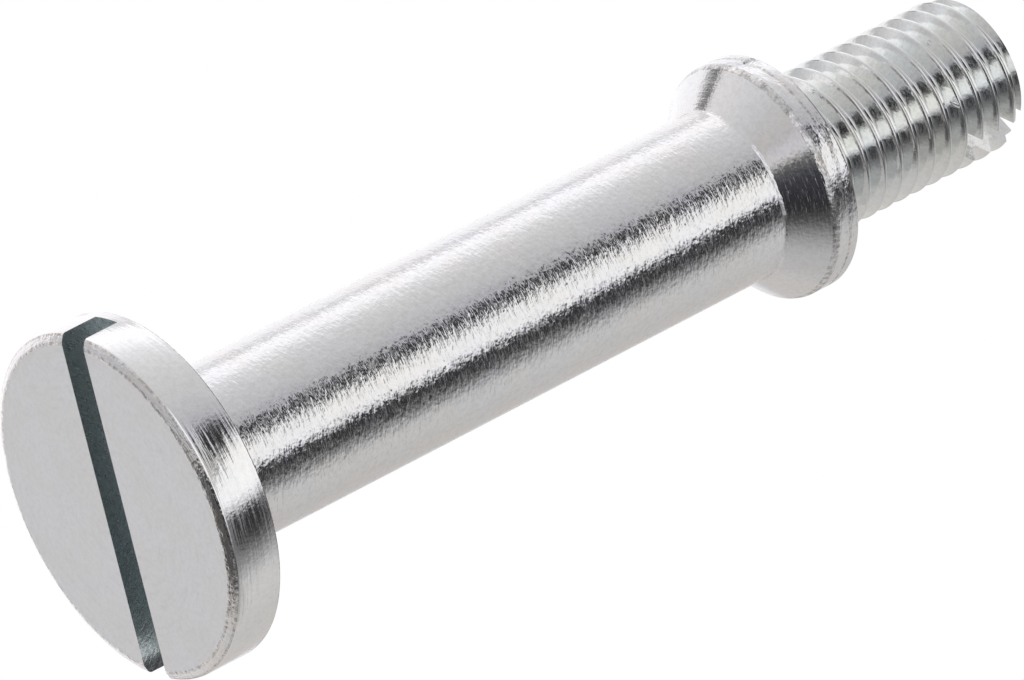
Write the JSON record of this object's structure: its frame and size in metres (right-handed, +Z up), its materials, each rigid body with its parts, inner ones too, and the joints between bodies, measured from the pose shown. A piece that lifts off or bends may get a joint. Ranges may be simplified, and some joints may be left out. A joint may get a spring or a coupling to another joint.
{
  "type": "slotted guide screw",
  "caption": "Turned steel screw with a thin slotted disc head, a plain guide shank, a coned collar and a threaded end with a saw slot across it.",
  "frame": {"origin": "middle of the head's flat face, on which the screw stands", "axes": "+Z up the screw's axis to the threaded end, X along the driving slot in the head"},
  "size_m": [0.0164, 0.0164, 0.0507],
  "materials": {
    "plated_steel": "bright zinc plate over turned steel, satin, with fine turning lines round it"
  },
  "bodies": {
    "root": {"guide_screw": "plated_steel"}
  },
  "joints": []
}
